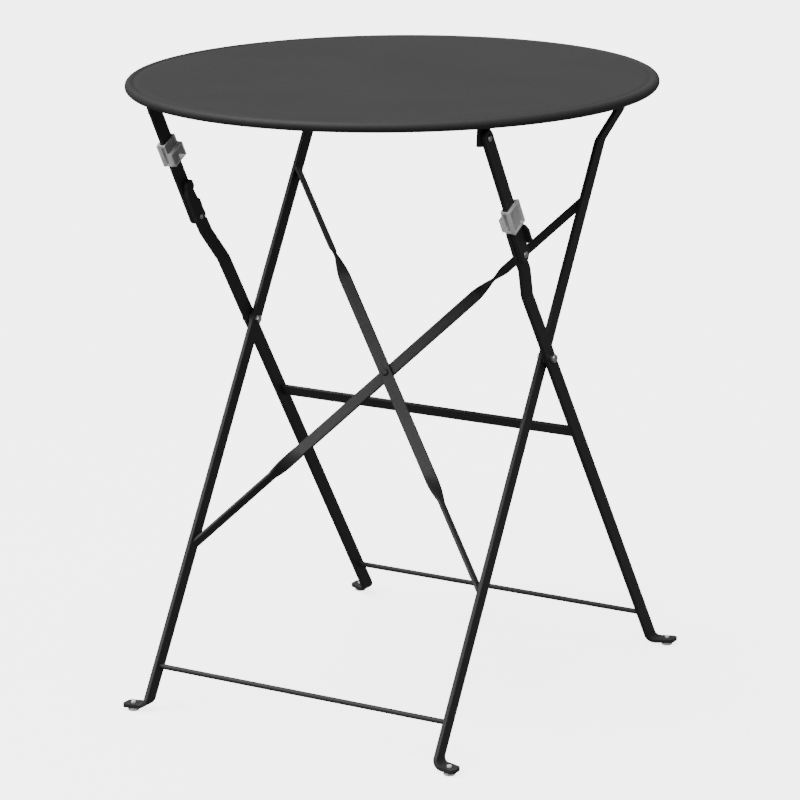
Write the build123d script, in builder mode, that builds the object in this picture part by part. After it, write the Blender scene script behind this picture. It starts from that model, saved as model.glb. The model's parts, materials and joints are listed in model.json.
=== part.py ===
from build123d import *
from math import atan, cos, hypot, pi, radians, sin, tan
import os

os.makedirs("parts", exist_ok=True)

# Round folding table: sheet steel top, two crossed frames of flat bar and two locking links.
# X runs along the cross rods, Y is the depth between the feet, Z is up, origin on the floor.

# tabletop
TOP_R = 297.5
TOP_Z = 710.0
SHEET = 1.2
BEAD_R = 5.5
FLAT_DROP = 0.4

# pivots in the side view (Y, Z)
SCISSOR = (2.5, 409.2)
REAR_PIVOT = (167.0, 691.0)
FRONT_PIVOT = (-160.2, 684.0)
LINK_LENGTH = 159.4
LINK_DIR = (-0.4843, 0.8749)
KNEE = (FRONT_PIVOT[0] - LINK_LENGTH * LINK_DIR[0], FRONT_PIVOT[1] - LINK_LENGTH * LINK_DIR[1])

# inner frame, feet at the front
IN_LEAN = 0.591
IN_X = 191.0
IN_TOP_X = 204.7
IN_WIDTH = 16.8
IN_JOGGLE = (632.0, 665.0)

# outer frame, feet at the back
OUT_LEAN = -0.632
OUT_X = 199.0
OUT_TOP_X = 207.7
OUT_WIDTH = 17.6
OUT_JOGGLE = (491.0, 525.0)
HORN = {"left": 50.0, "right": 36.6}

BAR_T = 5.0
EDGE_R = 0.8
RIVET_R = 2.5
RUN_FIT = 0.05
HEAD_R = 4.2
HEAD_H = 1.9
FRONT_HEAD_R = 3.5
KNEE_HEAD_R = 3.9
KNEE_BACK_R = 3.1

# stop plate behind the link: (X, up the link), and its place across the link
STOP_OUTLINE = (
    (208.2, 7.5), (218.0, 8.8), (222.0, 11.2), (222.0, 26.0), (219.6, 31.4),
    (216.6, 33.0), (213.4, 32.0), (212.0, 28.0), (211.2, 18.0), (208.2, 15.5),
)
STOP_V = (9.4, 12.5)

# feet
FOOT_Z = 6.65
TAB_T = 4.1
FOOT_BEND = 8.0
JOGGLE_R = 14.0
ROD_R = 3.0

# X brace
BRACE_W = 14.4
BRACE_T = 3.4
BRACE_MID = (-19.2, 371.9)
BRACE_RISE = 197.3
BRACE_GAP = 1.8
TWIST_X = (86.0, 113.0)

# link and lock clip
LINK_X = (211.0, 216.0)
LINK_W = 18.2
CLIP_U = {"left": 80.7, "right": 37.8}
CLIP_LEN = 29.5
BOX_LEN = 18.0

SIDES = (("left", -1.0), ("right", 1.0))


def y_at(lean, z):
    return SCISSOR[0] + lean * (z - SCISSOR[1])


def side_plane(x):
    # local x points to the back across the link, local y runs up the link from the knee
    return Plane(origin=(x, KNEE[0], KNEE[1]), x_dir=(0, LINK_DIR[1], -LINK_DIR[0]), z_dir=(1, 0, 0))


def stop_plane():
    # local x runs along X, local y runs up the link, facing the front
    y = KNEE[0] + STOP_V[1] * LINK_DIR[1]
    z = KNEE[1] - STOP_V[1] * LINK_DIR[0]
    return Plane(origin=(0, y, z), x_dir=(1, 0, 0), z_dir=(0, -LINK_DIR[1], LINK_DIR[0]))


def yz_plane(x):
    return Plane.YZ.offset(x)


def low_x(side, a, b):
    return min(side * a, side * b)


def leg_runs(side, lean, drift, x_low, x_high, joggle, z_top):
    # sections of a flat bar that bends outwards at the foot and steps outwards near its top
    slope = atan((x_high - x_low) / (joggle[1] - joggle[0]))
    reach = JOGGLE_R * tan(slope / 2)
    z_bend = FOOT_Z + FOOT_BEND
    foot = []
    for i in range(7):
        a = radians(90.0 - 15.0 * i)
        y = y_at(lean, z_bend) + drift * FOOT_BEND * a
        thick = TAB_T + (BAR_T - TAB_T) * i / 6
        foot.append((x_low + FOOT_BEND * (1 - cos(a)), y, z_bend - FOOT_BEND * sin(a), -a, thick))
    lower = []
    upper = []
    for i in range(4):
        a = slope * i / 3
        z_in = joggle[0] - reach + JOGGLE_R * sin(a)
        z_out = joggle[1] + reach - JOGGLE_R * sin(a)
        lower.append((x_low + JOGGLE_R * (1 - cos(a)), y_at(lean, z_in), z_in, a, BAR_T))
        upper.append((x_high - JOGGLE_R * (1 - cos(a)), y_at(lean, z_out), z_out, a, BAR_T))
    upper.reverse()
    top = (x_high, y_at(lean, z_top), z_top, 0.0, BAR_T)
    runs = [
        (foot, False), ([foot[-1], lower[0]], True), (lower, False),
        ([lower[-1], upper[0]], True), (upper, False), ([upper[-1], top], True),
    ]
    placed = []
    for run, ruled in runs:
        sections = []
        for x, y, z, a, thick in run:
            tilt = (side * sin(a), 0, cos(a))
            sections.append((Plane(origin=(side * x, y, z), x_dir=(0, 1, 0), z_dir=tilt), thick))
        placed.append((sections, ruled))
    return placed


IN_DRIFT = -0.37
OUT_DRIFT = 0.585
IN_BEND_END = (IN_X + FOOT_BEND, y_at(IN_LEAN, FOOT_Z + FOOT_BEND) + IN_DRIFT * FOOT_BEND * pi / 2)
OUT_BEND_END = (OUT_X + FOOT_BEND, y_at(OUT_LEAN, FOOT_Z + FOOT_BEND) + OUT_DRIFT * FOOT_BEND * pi / 2)
IN_GLIDE = (IN_BEND_END[0] + 9.2, IN_BEND_END[1] + IN_DRIFT * 9.2)
OUT_GLIDE = (OUT_BEND_END[0] + 8.8, OUT_BEND_END[1] + OUT_DRIFT * 8.8)
TIP = 10.2
TIP_W = 18.4
IN_TIP_Y = IN_GLIDE[1] + IN_DRIFT * TIP / 2
OUT_TIP_Y = OUT_GLIDE[1] + OUT_DRIFT * TIP / 2
GLIDE_HOLE_R = 1.9

# ---------------------------------------------------------------- tabletop

bead_x = TOP_R - BEAD_R
bead_z = TOP_Z - BEAD_R
flat_top = TOP_Z - FLAT_DROP

with BuildPart() as top_panel:
    with BuildSketch(Plane.XZ):
        with Locations((bead_x, bead_z)):
            Circle(BEAD_R)
            Circle(BEAD_R - SHEET, mode=Mode.SUBTRACT)
        # the curl stops just short of the sheet's underside
        with Locations((bead_x - BEAD_R, bead_z + 0.4)):
            Rectangle(3.4, 1.8, mode=Mode.SUBTRACT)
        with Locations((0, flat_top - SHEET)):
            Rectangle(TOP_R - BEAD_R - 3.1, SHEET, align=(Align.MIN, Align.MIN))
    revolve(axis=Axis.Z)
top_panel.part.label = "top_panel"
export_step(top_panel.part, "parts/top_panel.step")

# one angle rail per side, welded under the sheet, with an ear round each top pivot
UNDERSIDE = flat_top - SHEET
RAIL_T = 2.0
WEB_X = (207.8, 210.3)
RAIL_Y = (-182.0, 190.0)
EAR_R = 10.5
EAR_CORNERS = (
    (-171.6, 702.0), (-174.2, 677.2), (-173.2, 676.2), (-152.0, 673.0), (-147.5, 678.0), (-147.5, 702.0),
)

for name, side in SIDES:
    with BuildPart() as top_rail:
        with BuildSketch(Plane.XY.offset(UNDERSIDE - RAIL_T)):
            with Locations((side * (186.0 + WEB_X[1]) / 2, (RAIL_Y[0] + RAIL_Y[1]) / 2)):
                RectangleRounded(WEB_X[1] - 186.0, RAIL_Y[1] - RAIL_Y[0], 2.5)
        extrude(amount=RAIL_T)
        with BuildSketch(yz_plane(low_x(side, *WEB_X))):
            with Locations(((RAIL_Y[0] + RAIL_Y[1]) / 2, (700.0 + UNDERSIDE - RAIL_T) / 2)):
                Rectangle(RAIL_Y[1] - RAIL_Y[0] - 6, UNDERSIDE - RAIL_T - 700.0)
            # squared ear at the link, rounded ear at the inner leg
            with BuildLine():
                Polyline(*EAR_CORNERS, close=True)
            make_face()
            with Locations(REAR_PIVOT):
                Circle(EAR_R)
            with Locations((REAR_PIVOT[0], (REAR_PIVOT[1] + 702.0) / 2)):
                Rectangle(2 * EAR_R, 702.0 - REAR_PIVOT[1])
            with Locations(FRONT_PIVOT, REAR_PIVOT):
                Circle(RIVET_R, mode=Mode.SUBTRACT)
        extrude(amount=WEB_X[1] - WEB_X[0])
    top_rail.part.label = f"top_rail_{name}"
    export_step(top_rail.part, f"parts/top_rail_{name}.step")

# rivets of the two top pivots, closed outside the ears
with BuildPart() as front_pivot_rivets:
    for name, side in SIDES:
        with BuildSketch(yz_plane(low_x(side, 206.2, LINK_X[1] + HEAD_H))):
            with Locations(FRONT_PIVOT):
                Circle(RIVET_R)
        extrude(amount=LINK_X[1] + HEAD_H - 206.2)
        with BuildSketch(yz_plane(low_x(side, LINK_X[1] + 0.1, LINK_X[1] + HEAD_H))):
            with Locations(FRONT_PIVOT):
                Circle(FRONT_HEAD_R)
        extrude(amount=HEAD_H - 0.1)
        with BuildSketch(yz_plane(low_x(side, 206.2, WEB_X[0]))):
            with Locations(FRONT_PIVOT):
                Circle(FRONT_HEAD_R)
        extrude(amount=WEB_X[0] - 206.2)
    outer_rims = [
        e for e in front_pivot_rivets.edges().filter_by(GeomType.CIRCLE)
        if abs(abs(e.center().X) - LINK_X[1] - HEAD_H) < 0.01
    ]
    fillet(outer_rims, 1.3)
front_pivot_rivets.part.label = "front_pivot_rivets"
export_step(front_pivot_rivets.part, "parts/front_pivot_rivets.step")

REAR_IN = IN_TOP_X - BAR_T / 2 - 0.5
with BuildPart() as rear_pivot_rivets:
    for name, side in SIDES:
        with BuildSketch(yz_plane(low_x(side, REAR_IN, WEB_X[1] + HEAD_H))):
            with Locations(REAR_PIVOT):
                Circle(RIVET_R)
        extrude(amount=WEB_X[1] + HEAD_H - REAR_IN)
        with BuildSketch(yz_plane(low_x(side, WEB_X[1], WEB_X[1] + HEAD_H))):
            with Locations(REAR_PIVOT):
                Circle(HEAD_R)
        extrude(amount=HEAD_H)
        with BuildSketch(yz_plane(low_x(side, REAR_IN, REAR_IN + 0.4))):
            with Locations(REAR_PIVOT):
                Circle(HEAD_R)
        extrude(amount=0.4)
    outer_rims = [
        e for e in rear_pivot_rivets.edges().filter_by(GeomType.CIRCLE)
        if abs(abs(e.center().X) - WEB_X[1] - HEAD_H) < 0.01
    ]
    fillet(outer_rims, 1.5)
rear_pivot_rivets.part.label = "rear_pivot_rivets"
export_step(rear_pivot_rivets.part, "parts/rear_pivot_rivets.step")

# ---------------------------------------------------------------- inner frame

in_n = hypot(1.0, IN_LEAN)
out_n = hypot(1.0, OUT_LEAN)
SCREW_R = 3.0

for name, side in SIDES:
    with BuildPart() as inner_leg:
        for run, ruled in leg_runs(side, IN_LEAN, IN_DRIFT, IN_X, IN_TOP_X, IN_JOGGLE, REAR_PIVOT[1] - 3):
            for plane, thick in run:
                with BuildSketch(plane):
                    RectangleRounded(IN_WIDTH * in_n, thick, EDGE_R)
            loft(ruled=ruled)
        # rounded eye at the rear top pivot
        with BuildSketch(yz_plane(low_x(side, IN_TOP_X - BAR_T / 2, IN_TOP_X + BAR_T / 2))):
            with Locations(REAR_PIVOT):
                Circle(8.4)
        extrude(amount=BAR_T)
        # foot tab
        half = IN_WIDTH * in_n / 2
        with BuildSketch(Plane.XY.offset(FOOT_Z - TAB_T / 2)):
            with BuildLine():
                Polyline(
                    (side * IN_BEND_END[0], IN_BEND_END[1] - half),
                    (side * (IN_GLIDE[0] + TIP), IN_TIP_Y - TIP_W / 2),
                    (side * (IN_GLIDE[0] + TIP), IN_TIP_Y + TIP_W / 2),
                    (side * IN_BEND_END[0], IN_BEND_END[1] + half),
                    close=True,
                )
            make_face()
            far = [v for v in vertices() if abs(v.X) > IN_GLIDE[0]]
            fillet(far, 5.0)
        extrude(amount=TAB_T)
        with BuildSketch(Plane.XY):
            with Locations((side * IN_GLIDE[0], IN_GLIDE[1])):
                Circle(GLIDE_HOLE_R)
        extrude(amount=12, mode=Mode.SUBTRACT)
        with BuildSketch(yz_plane(low_x(side, 200, 210))):
            with Locations(REAR_PIVOT):
                Circle(RIVET_R + RUN_FIT)
        extrude(amount=10, mode=Mode.SUBTRACT)
        with BuildSketch(yz_plane(low_x(side, 186, 196))):
            with Locations(SCISSOR):
                Circle(SCREW_R)
        extrude(amount=10, mode=Mode.SUBTRACT)
    inner_leg.part.label = f"inner_leg_{name}"
    export_step(inner_leg.part, f"parts/inner_leg_{name}.step")

IN_FACE = IN_X - BAR_T / 2
OUT_FACE = OUT_X - BAR_T / 2

with BuildPart() as inner_foot_rod:
    with BuildSketch(yz_plane(-IN_FACE)):
        with Locations((y_at(IN_LEAN, 47.4), 47.4)):
            Circle(ROD_R)
    extrude(amount=2 * IN_FACE)
inner_foot_rod.part.label = "inner_foot_rod"
export_step(inner_foot_rod.part, "parts/inner_foot_rod.step")


def brace_frame(slope_side, offset, x):
    # a point on the bar's centre line and the bar's direction, in the inner frame's plane
    s_dir = Vector(0, IN_LEAN / in_n, 1 / in_n)
    normal = Vector(0, -1 / in_n, IN_LEAN / in_n)
    rise = BRACE_RISE * in_n
    along = (Vector(IN_FACE, 0, 0) + s_dir * (slope_side * rise)).normalized()
    point = Vector(0, BRACE_MID[0], BRACE_MID[1]) + normal * offset
    point = point + along * (x / along.X)
    return point, along, normal


def brace_plane(slope_side, offset, x, turn):
    point, along, normal = brace_frame(slope_side, offset, x)
    across = normal.cross(along).normalized()
    wide = across * cos(turn) + normal * sin(turn)
    return Plane(origin=point, x_dir=wide, z_dir=along)


for name, slope_side, offset in (("front", -1.0, BRACE_GAP), ("rear", 1.0, -BRACE_GAP)):
    with BuildPart() as brace:
        # wide face to the front across the middle
        with BuildSketch(brace_plane(slope_side, offset, -TWIST_X[0], 0.0)):
            RectangleRounded(BRACE_W, BRACE_T, 0.6)
        with BuildSketch(brace_plane(slope_side, offset, TWIST_X[0], 0.0)):
            RectangleRounded(BRACE_W, BRACE_T, 0.6)
        loft(ruled=True)
        for end in (-1.0, 1.0):
            # quarter twist
            for i in range(7):
                x = end * (TWIST_X[0] + (TWIST_X[1] - TWIST_X[0]) * i / 6)
                with BuildSketch(brace_plane(slope_side, offset, x, radians(-15.0 * end * i))):
                    RectangleRounded(BRACE_W, BRACE_T, 0.6)
            loft()
            # edge-on run to the leg
            for x in (TWIST_X[1], IN_FACE + 12):
                with BuildSketch(brace_plane(slope_side, offset, end * x, -end * pi / 2)):
                    RectangleRounded(BRACE_W, BRACE_T, 0.6)
            loft(ruled=True)
        split(bisect_by=yz_plane(IN_FACE), keep=Keep.BOTTOM)
        split(bisect_by=yz_plane(-IN_FACE), keep=Keep.TOP)
        mid, along, normal = brace_frame(slope_side, 0, 0)
        with BuildSketch(Plane(origin=mid - normal * 8, z_dir=normal)):
            Circle(RIVET_R)
        extrude(amount=16, mode=Mode.SUBTRACT)
    brace.part.label = f"brace_{name}"
    export_step(brace.part, f"parts/brace_{name}.step")

with BuildPart() as brace_rivet:
    mid, along, normal = brace_frame(1.0, 0, 0)
    face = BRACE_GAP + BRACE_T / 2
    with BuildSketch(Plane(origin=mid - normal * (face + 1.8), z_dir=normal)):
        Circle(RIVET_R)
    extrude(amount=2 * (face + 1.8))
    for start in (-face - 1.8, face):
        with BuildSketch(Plane(origin=mid + normal * start, z_dir=normal)):
            Circle(HEAD_R)
        extrude(amount=1.8)
    tips = brace_rivet.faces().filter_by(GeomType.PLANE).sort_by(Axis(tuple(mid), tuple(normal)))
    fillet(tips[0].edges() + tips[-1].edges(), 1.2)
brace_rivet.part.label = "brace_rivet"
export_step(brace_rivet.part, "parts/brace_rivet.step")

NUT_H = 3.2
with BuildPart() as scissor_nuts:
    for name, side in SIDES:
        with BuildSketch(yz_plane(low_x(side, IN_FACE - NUT_H, IN_FACE))):
            with Locations(SCISSOR):
                RegularPolygon(4.7, 6)
        extrude(amount=NUT_H)
        with BuildSketch(yz_plane(low_x(side, IN_FACE - NUT_H - 0.9, IN_X + BAR_T / 2 + 2.2))):
            with Locations(SCISSOR):
                Circle(SCREW_R)
        extrude(amount=NUT_H + 0.9 + BAR_T + 2.2)
scissor_nuts.part.label = "scissor_nuts"
export_step(scissor_nuts.part, "parts/scissor_nuts.step")

with BuildPart() as scissor_washers:
    for name, side in SIDES:
        x = IN_X + BAR_T / 2
        with BuildSketch(yz_plane(low_x(side, x, x + 2.2))):
            with Locations(SCISSOR):
                Circle(7.0)
                Circle(SCREW_R, mode=Mode.SUBTRACT)
        extrude(amount=2.2)
scissor_washers.part.label = "scissor_washers"
export_step(scissor_washers.part, "parts/scissor_washers.step")

# ---------------------------------------------------------------- outer frame

for name, side in SIDES:
    with BuildPart() as outer_leg:
        for run, ruled in leg_runs(side, OUT_LEAN, OUT_DRIFT, OUT_X, OUT_TOP_X, OUT_JOGGLE, KNEE[1] - 3):
            for plane, thick in run:
                with BuildSketch(plane):
                    RectangleRounded(OUT_WIDTH * out_n, thick, EDGE_R)
            loft(ruled=ruled)
        # knee boss and notched horn alongside the link
        tip = HORN[name]
        with BuildSketch(side_plane(low_x(side, OUT_TOP_X - BAR_T / 2, OUT_TOP_X + BAR_T / 2))):
            Circle(9.4)
            with BuildLine():
                if tip > 40:
                    Polyline(
                        (-8.8, -4), (-8.8, tip - 14), (-4.8, tip - 3.4), (-1.0, tip), (5.0, tip + 0.4),
                        (8.2, tip - 3), (8.2, 39.5), (3.0, 35.0), (2.4, 27.5), (8.8, 13), (8.8, -4),
                        close=True,
                    )
                else:
                    Polyline(
                        (-8.8, -4), (-8.8, tip - 3), (-5.8, tip), (3.0, tip),
                        (2.4, 27.5), (8.8, 13), (8.8, -4), close=True,
                    )
            make_face()
        extrude(amount=BAR_T)
        # root of the stop plate, on the outer half of the bar's thickness
        with BuildSketch(side_plane(low_x(side, OUT_TOP_X + 0.5, OUT_TOP_X + BAR_T / 2))):
            with Locations(((8.0 + STOP_V[1]) / 2, 11.5)):
                Rectangle(STOP_V[1] - 8.0, 8)
        extrude(amount=BAR_T / 2 - 0.5)
        # stop plate bent outwards behind the link
        with BuildSketch(stop_plane()):
            with BuildLine():
                Polyline(*[(side * x, u) for x, u in STOP_OUTLINE], close=True)
            make_face()
        extrude(amount=STOP_V[1] - STOP_V[0])
        # foot tab
        half = OUT_WIDTH * out_n / 2
        with BuildSketch(Plane.XY.offset(FOOT_Z - TAB_T / 2)):
            with BuildLine():
                Polyline(
                    (side * OUT_BEND_END[0], OUT_BEND_END[1] - half),
                    (side * (OUT_GLIDE[0] + TIP), OUT_TIP_Y - TIP_W / 2),
                    (side * (OUT_GLIDE[0] + TIP), OUT_TIP_Y + TIP_W / 2),
                    (side * OUT_BEND_END[0], OUT_BEND_END[1] + half),
                    close=True,
                )
            make_face()
            far = [v for v in vertices() if abs(v.X) > OUT_GLIDE[0]]
            fillet(far, 5.0)
        extrude(amount=TAB_T)
        with BuildSketch(Plane.XY):
            with Locations((side * OUT_GLIDE[0], OUT_GLIDE[1])):
                Circle(GLIDE_HOLE_R)
        extrude(amount=12, mode=Mode.SUBTRACT)
        with BuildSketch(yz_plane(low_x(side, 203, 213))):
            with Locations(KNEE):
                Circle(RIVET_R)
        extrude(amount=10, mode=Mode.SUBTRACT)
        with BuildSketch(yz_plane(low_x(side, 194, 204))):
            with Locations(SCISSOR):
                Circle(SCREW_R)
        extrude(amount=10, mode=Mode.SUBTRACT)
    outer_leg.part.label = f"outer_leg_{name}"
    export_step(outer_leg.part, f"parts/outer_leg_{name}.step")

with BuildPart() as outer_foot_rod:
    with BuildSketch(yz_plane(-OUT_FACE)):
        with Locations((y_at(OUT_LEAN, 46.4), 46.4)):
            Circle(ROD_R)
    extrude(amount=2 * OUT_FACE)
outer_foot_rod.part.label = "outer_foot_rod"
export_step(outer_foot_rod.part, "parts/outer_foot_rod.step")

CROSS_Z = 309.1
with BuildPart() as outer_cross_bar:
    with BuildSketch(
        Plane(
            origin=(-OUT_FACE, y_at(OUT_LEAN, CROSS_Z), CROSS_Z),
            x_dir=(0, OUT_LEAN / out_n, 1 / out_n),
            z_dir=(1, 0, 0),
        )
    ):
        RectangleRounded(15.0, 4.0, EDGE_R)
    extrude(amount=2 * OUT_FACE)
outer_cross_bar.part.label = "outer_cross_bar"
export_step(outer_cross_bar.part, "parts/outer_cross_bar.step")

BOLT_IN = OUT_FACE - 0.2
BOLT_TOP = OUT_X + BAR_T / 2 + 5.8
with BuildPart() as scissor_bolts:
    for name, side in SIDES:
        x = OUT_X + BAR_T / 2
        with BuildSketch(yz_plane(low_x(side, BOLT_IN, BOLT_TOP))):
            with Locations(SCISSOR):
                Circle(SCREW_R)
        extrude(amount=BOLT_TOP - BOLT_IN)
        # collar and domed head
        with BuildSketch(yz_plane(low_x(side, x, x + 2.0))):
            with Locations(SCISSOR):
                Circle(4.0)
        extrude(amount=2.0)
        with BuildSketch(yz_plane(low_x(side, x + 2.0, BOLT_TOP))):
            with Locations(SCISSOR):
                Circle(4.9)
        extrude(amount=BOLT_TOP - x - 2.0)
    outer_rims = [
        e for e in scissor_bolts.edges().filter_by(GeomType.CIRCLE)
        if abs(abs(e.center().X) - BOLT_TOP) < 0.01
    ]
    fillet(outer_rims, 2.2)
scissor_bolts.part.label = "scissor_bolts"
export_step(scissor_bolts.part, "parts/scissor_bolts.step")

KNEE_IN = OUT_TOP_X - BAR_T / 2 - 1.2
with BuildPart() as knee_rivets:
    for name, side in SIDES:
        with BuildSketch(yz_plane(low_x(side, KNEE_IN, LINK_X[1] + HEAD_H))):
            with Locations(KNEE):
                Circle(RIVET_R)
        extrude(amount=LINK_X[1] + HEAD_H - KNEE_IN)
        with BuildSketch(yz_plane(low_x(side, LINK_X[1] + 0.1, LINK_X[1] + HEAD_H))):
            with Locations(KNEE):
                Circle(KNEE_HEAD_R)
        extrude(amount=HEAD_H - 0.1)
        with BuildSketch(yz_plane(low_x(side, KNEE_IN, KNEE_IN + 1.2))):
            with Locations(KNEE):
                Circle(KNEE_BACK_R)
        extrude(amount=1.2)
    outer_rims = [
        e for e in knee_rivets.edges().filter_by(GeomType.CIRCLE)
        if abs(abs(e.center().X) - LINK_X[1] - HEAD_H) < 0.01
    ]
    fillet(outer_rims, 1.5)
    inner_rims = [
        e for e in knee_rivets.edges().filter_by(GeomType.CIRCLE)
        if abs(abs(e.center().X) - KNEE_IN) < 0.01
    ]
    fillet(inner_rims, 0.8)
knee_rivets.part.label = "knee_rivets"
export_step(knee_rivets.part, "parts/knee_rivets.step")

# ---------------------------------------------------------------- glides

for name, centre in (("inner", IN_GLIDE), ("outer", OUT_GLIDE)):
    with BuildPart() as glides:
        spots = [(side * centre[0], centre[1]) for _, side in SIDES]
        with BuildSketch(Plane.XY):
            with Locations(*spots):
                Circle(6.5)
        extrude(amount=FOOT_Z - TAB_T / 2)
        soles = glides.edges().group_by(Axis.Z)[0]
        fillet(soles, 0.8)
        with BuildSketch(Plane.XY.offset(FOOT_Z - TAB_T / 2)):
            with Locations(*spots):
                Circle(GLIDE_HOLE_R)
        extrude(amount=TAB_T)
        with BuildSketch(Plane.XY.offset(FOOT_Z + TAB_T / 2)):
            with Locations(*spots):
                Circle(2.7)
        extrude(amount=2.2)
        crowns = glides.edges().group_by(Axis.Z)[-1]
        fillet(crowns, 0.9)
    glides.part.label = f"{name}_glides"
    export_step(glides.part, f"parts/{name}_glides.step")

# ---------------------------------------------------------------- links and lock clips

for name, side in SIDES:
    with BuildPart() as link:
        with BuildSketch(side_plane(low_x(side, *LINK_X))):
            with Locations((0, LINK_LENGTH / 2)):
                SlotCenterToCenter(LINK_LENGTH, LINK_W, rotation=90)
        extrude(amount=LINK_X[1] - LINK_X[0])
        fillet(link.faces().sort_by(Axis.X)[0].edges() + link.faces().sort_by(Axis.X)[-1].edges(), EDGE_R)
        with BuildSketch(side_plane(low_x(side, *LINK_X))):
            with Locations((0, 0), (0, LINK_LENGTH)):
                Circle(RIVET_R + RUN_FIT)
        extrude(amount=LINK_X[1] - LINK_X[0], mode=Mode.SUBTRACT)
    link.part.label = f"link_{name}"
    export_step(link.part, f"parts/link_{name}.step")


def clip_block(side, x0, x1, v0, v1, u0, u1, base, mode=Mode.ADD):
    # a box given across X, across the link and along the link from the clip's lower end
    with BuildSketch(side_plane(low_x(side, x0, x1))) as outline:
        with Locations(((v0 + v1) / 2, base + (u0 + u1) / 2)):
            Rectangle(v1 - v0, u1 - u0)
    extrude(outline.sketch, amount=x1 - x0, mode=mode)


for name, side in SIDES:
    with BuildPart() as lock_clip:
        base = CLIP_U[name]
        # outer wall over the full length
        clip_block(side, 216.8, 220.0, -12.0, 12.8, 0, CLIP_LEN, base)
        # upper part grips the link alone
        clip_block(side, 208.9, 217.6, -11.4, 12.0, BOX_LEN - 1, CLIP_LEN, base)
        # lower box is deeper and clears the leg's horn
        clip_block(side, 203.8, 217.6, -11.6, 13.4, 0.4, BOX_LEN, base)
        # passage for link and horn
        clip_block(side, 210.6, 216.8, -9.5, 10.1, -1, CLIP_LEN + 1, base, Mode.SUBTRACT)
        clip_block(side, 205.0, 216.8, -9.5, 11.6, -1, BOX_LEN - 1.4, base, Mode.SUBTRACT)
        # lower front corner stepped back to clear the folded leg
        clip_block(side, 203.0, 207.4, -12.2, -10.5, 0, 2.4, base, Mode.SUBTRACT)
        # recessed panels in the outer wall, the inner walls and the front wall
        clip_block(side, 218.9, 221.0, -10.0, 10.8, 2.2, CLIP_LEN - 2.2, base, Mode.SUBTRACT)
        clip_block(side, 208.0, 209.6, -8.8, 9.2, 19.8, CLIP_LEN - 2.0, base, Mode.SUBTRACT)
        clip_block(side, 203.0, 204.2, -10.2, 11.4, 2.4, 16.0, base, Mode.SUBTRACT)
        clip_block(side, 210.6, 215.2, -13.0, -10.8, 3.0, CLIP_LEN - 3.0, base, Mode.SUBTRACT)
    lock_clip.part.label = f"lock_clip_{name}"
    export_step(lock_clip.part, f"parts/lock_clip_{name}.step")
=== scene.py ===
import json
import math

import bmesh
import bpy
from mathutils import Matrix, Vector


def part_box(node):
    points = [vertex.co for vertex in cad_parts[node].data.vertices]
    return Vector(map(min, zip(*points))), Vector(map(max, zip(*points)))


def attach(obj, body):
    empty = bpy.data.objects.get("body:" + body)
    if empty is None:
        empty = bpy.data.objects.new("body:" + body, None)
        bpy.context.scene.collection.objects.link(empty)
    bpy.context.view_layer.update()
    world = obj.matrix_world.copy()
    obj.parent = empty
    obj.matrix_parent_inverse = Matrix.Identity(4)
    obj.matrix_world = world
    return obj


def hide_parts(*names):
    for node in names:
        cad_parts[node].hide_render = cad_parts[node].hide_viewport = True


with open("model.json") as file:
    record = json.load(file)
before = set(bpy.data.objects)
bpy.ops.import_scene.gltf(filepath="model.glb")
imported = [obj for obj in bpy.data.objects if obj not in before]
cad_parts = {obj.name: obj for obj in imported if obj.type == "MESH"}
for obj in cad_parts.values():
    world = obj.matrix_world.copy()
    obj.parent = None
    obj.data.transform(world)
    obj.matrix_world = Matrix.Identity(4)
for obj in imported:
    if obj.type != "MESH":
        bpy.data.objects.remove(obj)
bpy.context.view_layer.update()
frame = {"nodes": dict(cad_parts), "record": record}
NODES = frame["nodes"]


# ------------------------------------------------------------------ node helpers

# a noise texture's values lie mostly between these
NOISE_LOW = 0.3
NOISE_HIGH = 0.7


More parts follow.
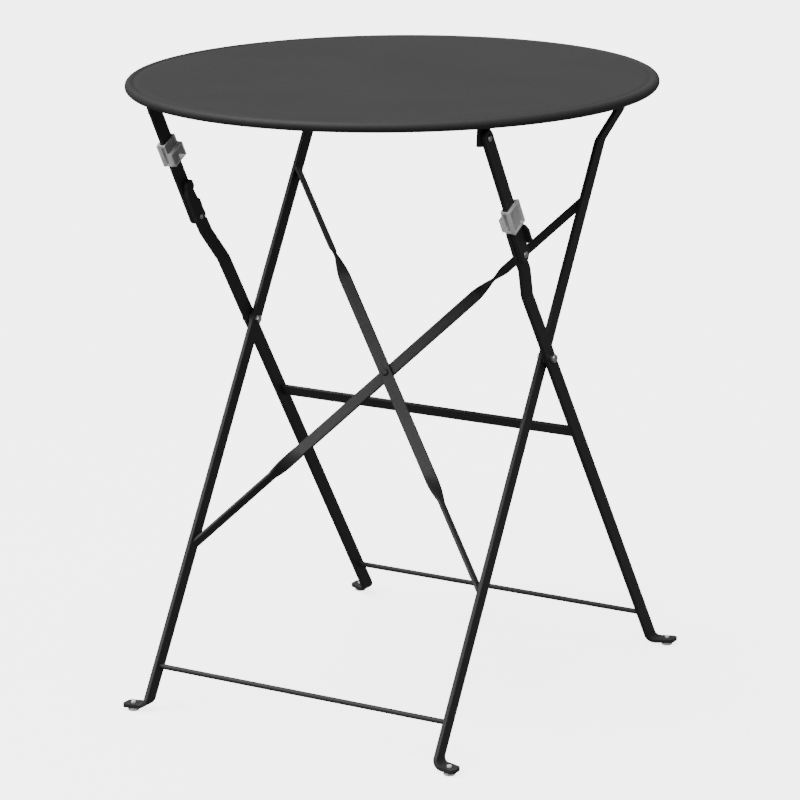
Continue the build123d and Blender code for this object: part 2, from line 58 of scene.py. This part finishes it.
class Graph:
    """Small wrapper that adds and links shader nodes."""

    def __init__(self, name):
        self.mat = bpy.data.materials.new(name)
        self.mat.use_nodes = True
        self.tree = self.mat.node_tree
        self.tree.nodes.clear()
        self.out = self.add("ShaderNodeOutputMaterial")
        self.bsdf = self.add("ShaderNodeBsdfPrincipled")
        self.link(self.bsdf, "BSDF", self.out, "Surface")
        self.coord = self.add("ShaderNodeTexCoord")

    def add(self, kind, **values):
        node = self.tree.nodes.new(kind)
        for key, value in values.items():
            if hasattr(node, key):
                setattr(node, key, value)
            else:
                node.inputs[key.replace("_", " ")].default_value = value
        return node

    def link(self, a, a_out, b, b_in):
        self.tree.links.new(a.outputs[a_out], b.inputs[b_in])

    def noise(self, scale, detail, rough=0.55, stretch=None):
        node = self.add("ShaderNodeTexNoise", Scale=scale, Detail=detail, Roughness=rough)
        if stretch:
            mapping = self.add("ShaderNodeMapping")
            mapping.inputs["Scale"].default_value = stretch
            self.link(self.coord, "Object", mapping, "Vector")
            self.link(mapping, "Vector", node, "Vector")
        else:
            self.link(self.coord, "Object", node, "Vector")
        return node

    def ramp(self, source, output, stops):
        node = self.add("ShaderNodeValToRGB")
        elements = node.color_ramp.elements
        while len(elements) < len(stops):
            elements.new(0.5)
        for element, (place, colour) in zip(elements, stops):
            element.position = place
            element.color = (*colour, 1.0)
        self.link(source, output, node, "Fac")
        return node

    def span(self, source, output, low, high, from_low=NOISE_LOW, from_high=NOISE_HIGH):
        """Spreads the source's values between from_low and from_high over low to high."""
        node = self.add("ShaderNodeMapRange")
        node.inputs["From Min"].default_value = from_low
        node.inputs["From Max"].default_value = from_high
        node.inputs["To Min"].default_value = low
        node.inputs["To Max"].default_value = high
        self.link(source, output, node, "Value")
        return node

    def mix(self, a, b, factor=None, value=0.5, blend="MIX"):
        """Mixes two colours; the linked factor, where there is one, takes the place of value."""
        node = self.add("ShaderNodeMix")
        node.data_type = "RGBA"
        node.blend_type = blend
        node.inputs[0].default_value = value
        if factor:
            self.tree.links.new(factor, node.inputs[0])
        for socket, source in ((node.inputs[6], a), (node.inputs[7], b)):
            if isinstance(source, tuple):
                socket.default_value = (*source, 1.0)
            else:
                self.tree.links.new(source, socket)
        return node.outputs[2]

    def bump(self, source, output, strength, distance, below=None):
        node = self.add("ShaderNodeBump")
        node.inputs["Strength"].default_value = strength
        node.inputs["Distance"].default_value = distance
        self.link(source, output, node, "Height")
        if below:
            self.link(below, "Normal", node, "Normal")
        return node


def grey(v):
    return (v, v, v)


def powder_coat(name, dark, light, rough, edge_highlight, grain, edge_highlight_gain):
    """Powder-coated steel: fine orange peel, slight clouding, and a painted highlight that makes
    the sharpest edges paler.

    dark and light are the ends of the clouding, grain is the orange peel's scale, edge is the
    painted highlight's colour on the sharpest edges, and edge_highlight_gain is how far the
    colour goes over to it.
    """
    g = Graph(name)
    cloud = g.noise(7.0, 4.0)
    speck = g.noise(900.0, 2.0, 0.6)
    base = g.ramp(cloud, "Fac", [(0.3, dark), (0.72, light)])
    flecks = g.ramp(speck, "Fac", [(0.36, grey(0.82)), (0.68, grey(1.16))])
    colour = g.mix(base.outputs["Color"], flecks.outputs["Color"], value=1.0, blend="MULTIPLY")
    # painted highlight: where the pointiness is high the colour goes paler, standing in for light
    # caught along the edges
    edge_shape = g.add("ShaderNodeNewGeometry")
    edge_highlight_mask = g.span(edge_shape, "Pointiness", 0.0, edge_highlight_gain, 0.505, 0.58)
    colour = g.mix(colour, edge_highlight, factor=edge_highlight_mask.outputs["Result"])
    g.tree.links.new(colour, g.bsdf.inputs["Base Color"])
    gloss = g.span(cloud, "Fac", rough - 0.05, rough + 0.07)
    g.link(gloss, "Result", g.bsdf, "Roughness")
    peel = g.bump(g.noise(grain, 2.0, 0.5), "Fac", 0.35, 0.00018)
    grain_bump = g.bump(speck, "Fac", 0.25, 0.00006, below=peel)
    g.link(grain_bump, "Normal", g.bsdf, "Normal")
    g.bsdf.inputs["Specular IOR Level"].default_value = 0.25
    return g.mat


def zinc_steel(name):
    """Bright zinc-plated steel with fine scratches and faint tarnish."""
    g = Graph(name)
    tarnish = g.noise(180.0, 4.0)
    scratch = g.noise(420.0, 3.0, 0.6, stretch=(1.0, 6.0, 1.0))
    base = g.ramp(tarnish, "Fac", [(0.3, (0.46, 0.45, 0.43)), (0.65, (0.74, 0.74, 0.73))])
    g.link(base, "Color", g.bsdf, "Base Color")
    g.bsdf.inputs["Metallic"].default_value = 1.0
    gloss = g.span(scratch, "Fac", 0.2, 0.42)
    g.link(gloss, "Result", g.bsdf, "Roughness")
    fine = g.bump(scratch, "Fac", 0.3, 0.00005)
    g.link(fine, "Normal", g.bsdf, "Normal")
    return g.mat


def clear_plastic(name, tint, tint_light, opacity, rough):
    """Moulded milky plastic with cloudy flow marks; each skin lets part of the light through."""
    g = Graph(name)
    flow = g.noise(130.0, 3.0, 0.6, stretch=(1.0, 1.0, 0.35))
    base = g.ramp(flow, "Fac", [(0.32, tint), (0.7, tint_light)])
    g.link(base, "Color", g.bsdf, "Base Color")
    gloss = g.span(flow, "Fac", rough - 0.05, rough + 0.08)
    g.link(gloss, "Result", g.bsdf, "Roughness")
    veil = g.span(flow, "Fac", opacity - 0.05, opacity + 0.05)
    g.link(veil, "Result", g.bsdf, "Alpha")
    skin = g.bump(flow, "Fac", 0.15, 0.0001)
    g.link(skin, "Normal", g.bsdf, "Normal")
    g.bsdf.inputs["IOR"].default_value = 1.49
    return g.mat


# the colours given for the sharpest edges below are painted highlights
TOP_COAT = powder_coat(
    "top_coat", dark=grey(0.026), light=grey(0.031), rough=0.58,
    edge_highlight=grey(0.06), grain=1600.0, edge_highlight_gain=0.3
)
FRAME_COAT = powder_coat(
    "frame_coat", dark=grey(0.023), light=grey(0.028), rough=0.5,
    edge_highlight=grey(0.04), grain=1500.0, edge_highlight_gain=0.4
)
ZINC = zinc_steel("zinc_steel")
CLIP_RIM = clear_plastic("clip_rim", grey(0.86), grey(0.92), opacity=0.94, rough=0.3)
# the two darker copies of the plastic below are painted shade for the recesses and the dark link
# behind them
CLIP_WALL_SHADED = clear_plastic("clip_wall_shaded", grey(0.56), grey(0.64), opacity=0.86, rough=0.3)
CLIP_PANE_SHADED = clear_plastic("clip_pane_shaded", grey(0.5), grey(0.58), opacity=0.74, rough=0.3)
GLIDE_PLASTIC = clear_plastic("glide_plastic", grey(0.72), grey(0.82), opacity=0.94, rough=0.38)

SLOT_MATERIAL = {
    "top_coat": TOP_COAT,
    "frame_coat": FRAME_COAT,
    "zinc_steel": ZINC,
    "clear_plastic": CLIP_RIM,
}

# edges that turn by more than this many degrees stay sharp in the shading
SHARP_ANGLE = 50.0


def dress(obj, material):
    obj.data.materials.clear()
    obj.data.materials.append(material)


def smooth(obj):
    for polygon in obj.data.polygons:
        polygon.use_smooth = True
    obj.data.set_sharp_from_angle(angle=math.radians(SHARP_ANGLE))


for part in frame["record"]["subparts"]:
    material = SLOT_MATERIAL[part["material_slot"]]
    if "glides" in part["node"]:
        material = GLIDE_PLASTIC
    dress(NODES[part["node"]], material)


# ------------------------------------------------------------------ finer pieces over CAD nodes

def new_object(name, verts, faces):
    mesh = bpy.data.meshes.new(name)
    mesh.from_pydata(verts, [], faces)
    mesh.validate()
    obj = bpy.data.objects.new(name, mesh)
    bpy.context.scene.collection.objects.link(obj)
    return obj


def arc(cx, cz, r, start, end, steps):
    """Points round (cx, cz) from start to end, in degrees, both ends included."""
    points = []
    for i in range(steps + 1):
        a = math.radians(start + (end - start) * i / steps)
        points.append((cx + r * math.cos(a), cz + r * math.sin(a)))
    return points


def lathe(name, profile, segments):
    """Turns a closed (radius, height) profile about Z; points on the axis become one vertex."""
    verts, faces = [], []
    count = len(profile)
    for s in range(segments):
        a = 2 * math.pi * s / segments
        verts += [(r * math.cos(a), r * math.sin(a), z) for r, z in profile]
    for s in range(segments):
        here, after = s * count, (s + 1) % segments * count
        for i in range(count):
            j = (i + 1) % count
            if profile[i][0] or profile[j][0]:
                faces.append((here + i, after + i, after + j, here + j))
    obj = new_object(name, verts, faces)
    bm = bmesh.new()
    bm.from_mesh(obj.data)
    bmesh.ops.remove_doubles(bm, verts=bm.verts, dist=1e-6)
    bmesh.ops.recalc_face_normals(bm, faces=bm.faces)
    bm.to_mesh(obj.data)
    bm.free()
    return obj


top_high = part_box("top_panel")[1]
TOP_R = min(top_high.x, top_high.y)
TOP_Z = top_high.z
# the rolled bead's outer radius and the sheet's thickness
BEAD_R = 0.0055
SHEET = 0.0012
# the bead stands this far above the plate
BEAD_RISE = 0.0004
# rings of the flat plate and of its underside, as shares of the top's radius
PLATE_RINGS = (0.0, 0.04, 0.1, 0.2, 0.4, 0.6, 0.8, 0.92, 0.94)
UNDER_RINGS = (0.9, 0.6, 0.3, 0.1, 0.0)
# the groove inside the bead: distance in from the bead's centre, depth under the plate
GROOVE = (
    (0.0088, 0.00002), (0.0074, 0.0004), (0.0056, 0.0009), (0.0038, 0.00095), (0.0029, 0.0006)
)
# the bead's skins run clockwise from the plate to the curled end and back, in degrees
BEAD_START, BEAD_END, BEAD_BACK = 113, -172, 128
OUTER_STEPS, INNER_STEPS = 44, 36
# the plate's underside begins this far in from the bead's centre
UNDER_BEAD = 0.0044
TOP_SEGMENTS = 288

bead_x, bead_z = TOP_R - BEAD_R, TOP_Z - BEAD_R
plate_z = TOP_Z - BEAD_RISE
under_z = plate_z - SHEET

# pressed top: a flat plate, a soft groove and the rolled bead that curls under
profile = [(TOP_R * share, plate_z) for share in PLATE_RINGS]
profile += [(bead_x - inward, plate_z - depth) for inward, depth in GROOVE]
profile += arc(bead_x, bead_z, BEAD_R, BEAD_START, BEAD_END, OUTER_STEPS)
profile += arc(bead_x, bead_z, BEAD_R - SHEET, BEAD_END, BEAD_BACK, INNER_STEPS)
profile += [(bead_x - UNDER_BEAD, under_z)]
profile += [(TOP_R * share, under_z) for share in UNDER_RINGS]
top = lathe("top_sheet", profile, TOP_SEGMENTS)
smooth(top)
dress(top, TOP_COAT)
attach(top, "tabletop")
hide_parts("top_panel")


# a clip's edges that turn by more than ROUND_ANGLE degrees are rounded by CLIP_ROUND,
# which is under half of the shallowest recess
CLIP_ROUND = 0.00009
ROUND_STEPS = 3
ROUND_ANGLE = 35.0
# closer vertices are one vertex, and faces that turn by less than FLAT_ANGLE degrees are one face
MERGE = 2e-6
FLAT_ANGLE = 1.0


def rounded_copy(node, name, body, width, material):
    """A copy of a CAD node's shape with its sharp edges rounded."""
    obj = bpy.data.objects.new(name, NODES[node].data.copy())
    bpy.context.scene.collection.objects.link(obj)
    bm = bmesh.new()
    bm.from_mesh(obj.data)
    bmesh.ops.remove_doubles(bm, verts=bm.verts, dist=MERGE)
    flat = math.radians(FLAT_ANGLE)
    bmesh.ops.dissolve_limit(bm, angle_limit=flat, verts=bm.verts, edges=bm.edges)
    bm.to_mesh(obj.data)
    bm.free()
    bevel = obj.modifiers.new("round", "BEVEL")
    bevel.width = width
    bevel.segments = ROUND_STEPS
    bevel.limit_method = "ANGLE"
    bevel.angle_limit = math.radians(ROUND_ANGLE)
    bevel.use_clamp_overlap = False
    depsgraph = bpy.context.evaluated_depsgraph_get()
    rounded = bpy.data.meshes.new_from_object(obj.evaluated_get(depsgraph))
    obj.modifiers.clear()
    obj.data = rounded
    smooth(obj)
    dress(obj, material)
    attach(obj, body)
    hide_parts(node)
    return obj


knee_low, knee_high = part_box("knee_rivets")
KNEE = (knee_low + knee_high) / 2
# along the links from the knee up, and square to them towards the back
UP_LINK = Vector((0.0, -0.4843, 0.8749))
BACK = Vector((0.0, 0.8749, 0.4843))
# thin skins of the clips: X is the distance from the table's middle plane, and ACROSS is
# the distance from the knee's axis along BACK
WALL_X = 0.2189
PANE_X = (0.2096, 0.2042)
PANE_ACROSS = -0.0108
PASSAGE_X = (0.205, 0.2168)
PASSAGE_ACROSS = (-0.0095, 0.0116)
# a face closer than this to one of these places lies on it
NEAR = 0.00008
# a face counts as square to an axis above SQUARE_ON, and as running along it below ALONG
SQUARE_ON = 0.9
ALONG = 0.3
# places in the moulding's material list, after the rim's
PANE_INDEX = 1
WALL_INDEX = 2


def glaze(obj):
    """Gives the recessed panels and the passage behind them a darker copy of the plastic, and the
    wall at WALL_X another: painted shade.
    """
    obj.data.materials.append(CLIP_PANE_SHADED)
    obj.data.materials.append(CLIP_WALL_SHADED)
    for polygon in obj.data.polygons:
        across = (polygon.center - KNEE).dot(BACK)
        x = abs(polygon.center.x)
        side_on = abs(polygon.normal.x) > SQUARE_ON
        on_pane = side_on and any(abs(x - place) < NEAR for place in PANE_X)
        front_on = abs(polygon.normal.dot(BACK)) > SQUARE_ON
        on_front = front_on and abs(across - PANE_ACROSS) < NEAR
        inside = PASSAGE_X[0] - NEAR < x < PASSAGE_X[1] + NEAR
        inside = inside and PASSAGE_ACROSS[0] - NEAR < across < PASSAGE_ACROSS[1] + NEAR
        lengthwise = abs(polygon.normal.dot(UP_LINK)) < ALONG
        if on_pane or on_front or (inside and lengthwise):
            polygon.material_index = PANE_INDEX
        elif side_on and abs(x - WALL_X) < NEAR:
            polygon.material_index = WALL_INDEX


for side in ("left", "right"):
    clip = f"lock_clip_{side}"
    moulding = rounded_copy(
        clip, f"clip_{side}_moulding", clip, CLIP_ROUND, CLIP_RIM
    )
    glaze(moulding)


# ------------------------------------------------------------------ stage, light and camera

PAPER_GLOW = 3.5
FLOOR_HALF = 30.0
SKY_ABOVE = 0.35
SKY_BELOW = 0.18
# heights on the unit sphere between which the sky brightens
SKY_LOW = -0.05
SKY_HIGH = 0.6
SUN_STRENGTH = 4.85
# the sun's spread in degrees, wide like an overcast sky
SUN_SPREAD = 70.0
SUN_AIM = Vector((0.3, 0.36, -1.0))
# the middle of the table, which the light panels face
PANEL_AIM = Vector((0.0, 0.0, 0.4))

stage = Graph("stage_paper")
paper = stage.noise(3.0, 2.0)
paper_tone = stage.ramp(paper, "Fac", [(0.3, grey(0.9)), (0.7, grey(0.92))])
stage.link(paper_tone, "Color", stage.bsdf, "Base Color")
stage.bsdf.inputs["Roughness"].default_value = 0.9
stage.bsdf.inputs["Specular IOR Level"].default_value = 0.1
stage.bsdf.inputs["Emission Color"].default_value = (1.0, 1.0, 1.0, 1.0)
stage.bsdf.inputs["Emission Strength"].default_value = PAPER_GLOW
corners = [(x * FLOOR_HALF, y * FLOOR_HALF, 0) for x, y in ((-1, -1), (1, -1), (1, 1), (-1, 1))]
floor = new_object("floor", corners, [(0, 1, 2, 3)])
dress(floor, stage.mat)
# the paper is seen and takes shadows, and throws no light back up at the table
floor.visible_diffuse = False
floor.visible_glossy = False

world = bpy.data.worlds.new("studio")
bpy.context.scene.world = world
world.use_nodes = True
background = world.node_tree.nodes["Background"]
# bright above the horizon and dark below it
place = world.node_tree.nodes.new("ShaderNodeTexCoord")
split = world.node_tree.nodes.new("ShaderNodeSeparateXYZ")
fade = world.node_tree.nodes.new("ShaderNodeMapRange")
fade.inputs["From Min"].default_value = SKY_LOW
fade.inputs["From Max"].default_value = SKY_HIGH
fade.inputs["To Min"].default_value = SKY_BELOW
fade.inputs["To Max"].default_value = SKY_ABOVE
world.node_tree.links.new(place.outputs["Generated"], split.inputs["Vector"])
world.node_tree.links.new(split.outputs["Z"], fade.inputs["Value"])
world.node_tree.links.new(fade.outputs["Result"], background.inputs["Strength"])
background.inputs["Color"].default_value = (1.0, 1.0, 1.0, 1.0)


def area_light(name, place, size, power):
    """A square soft light at place, facing the middle of the table."""
    data = bpy.data.lights.new(name, "AREA")
    data.shape = "RECTANGLE"
    data.size = data.size_y = size
    data.energy = power
    obj = bpy.data.objects.new(name, data)
    bpy.context.scene.collection.objects.link(obj)
    obj.location = place
    aim = PANEL_AIM - Vector(place)
    obj.rotation_euler = aim.to_track_quat("-Z", "Y").to_euler()


sun = bpy.data.lights.new("sky_panel", "SUN")
sun.energy = SUN_STRENGTH
sun.angle = math.radians(SUN_SPREAD)
sun_object = bpy.data.objects.new("sky_panel", sun)
bpy.context.scene.collection.objects.link(sun_object)
sun_object.rotation_euler = SUN_AIM.to_track_quat("-Z", "Y").to_euler()

area_light("key", (-1.9, -2.4, 1.9), size=1.4, power=14.0)
area_light("fill", (2.6, -2.2, 2.0), size=1.6, power=24.0)

# the camera's place in metres, its turn in degrees and its lens in millimetres
CAMERA_PLACE = Vector((1.992183, -3.272456, 1.35069))
YAW, PITCH, ROLL = (math.radians(a) for a in (31.2565, -14.8347, 0.6073))
LENS = 156.28
SENSOR = 36.0

forward = Vector((
    -math.sin(YAW) * math.cos(PITCH),
    math.cos(YAW) * math.cos(PITCH),
    math.sin(PITCH),
))
right = Vector((math.cos(YAW), math.sin(YAW), 0.0))
down = forward.cross(right)
image_x = right * math.cos(ROLL) + down * math.sin(ROLL)
image_y = down * math.cos(ROLL) - right * math.sin(ROLL)
pose = Matrix((image_x, -image_y, -forward)).transposed().to_4x4()
pose.translation = CAMERA_PLACE

camera = bpy.data.cameras.new("camera")
camera.lens = LENS
camera.sensor_width = SENSOR
camera.clip_end = 100.0
camera_object = bpy.data.objects.new("camera", camera)
bpy.context.scene.collection.objects.link(camera_object)
camera_object.matrix_world = pose
bpy.context.scene.camera = camera_object
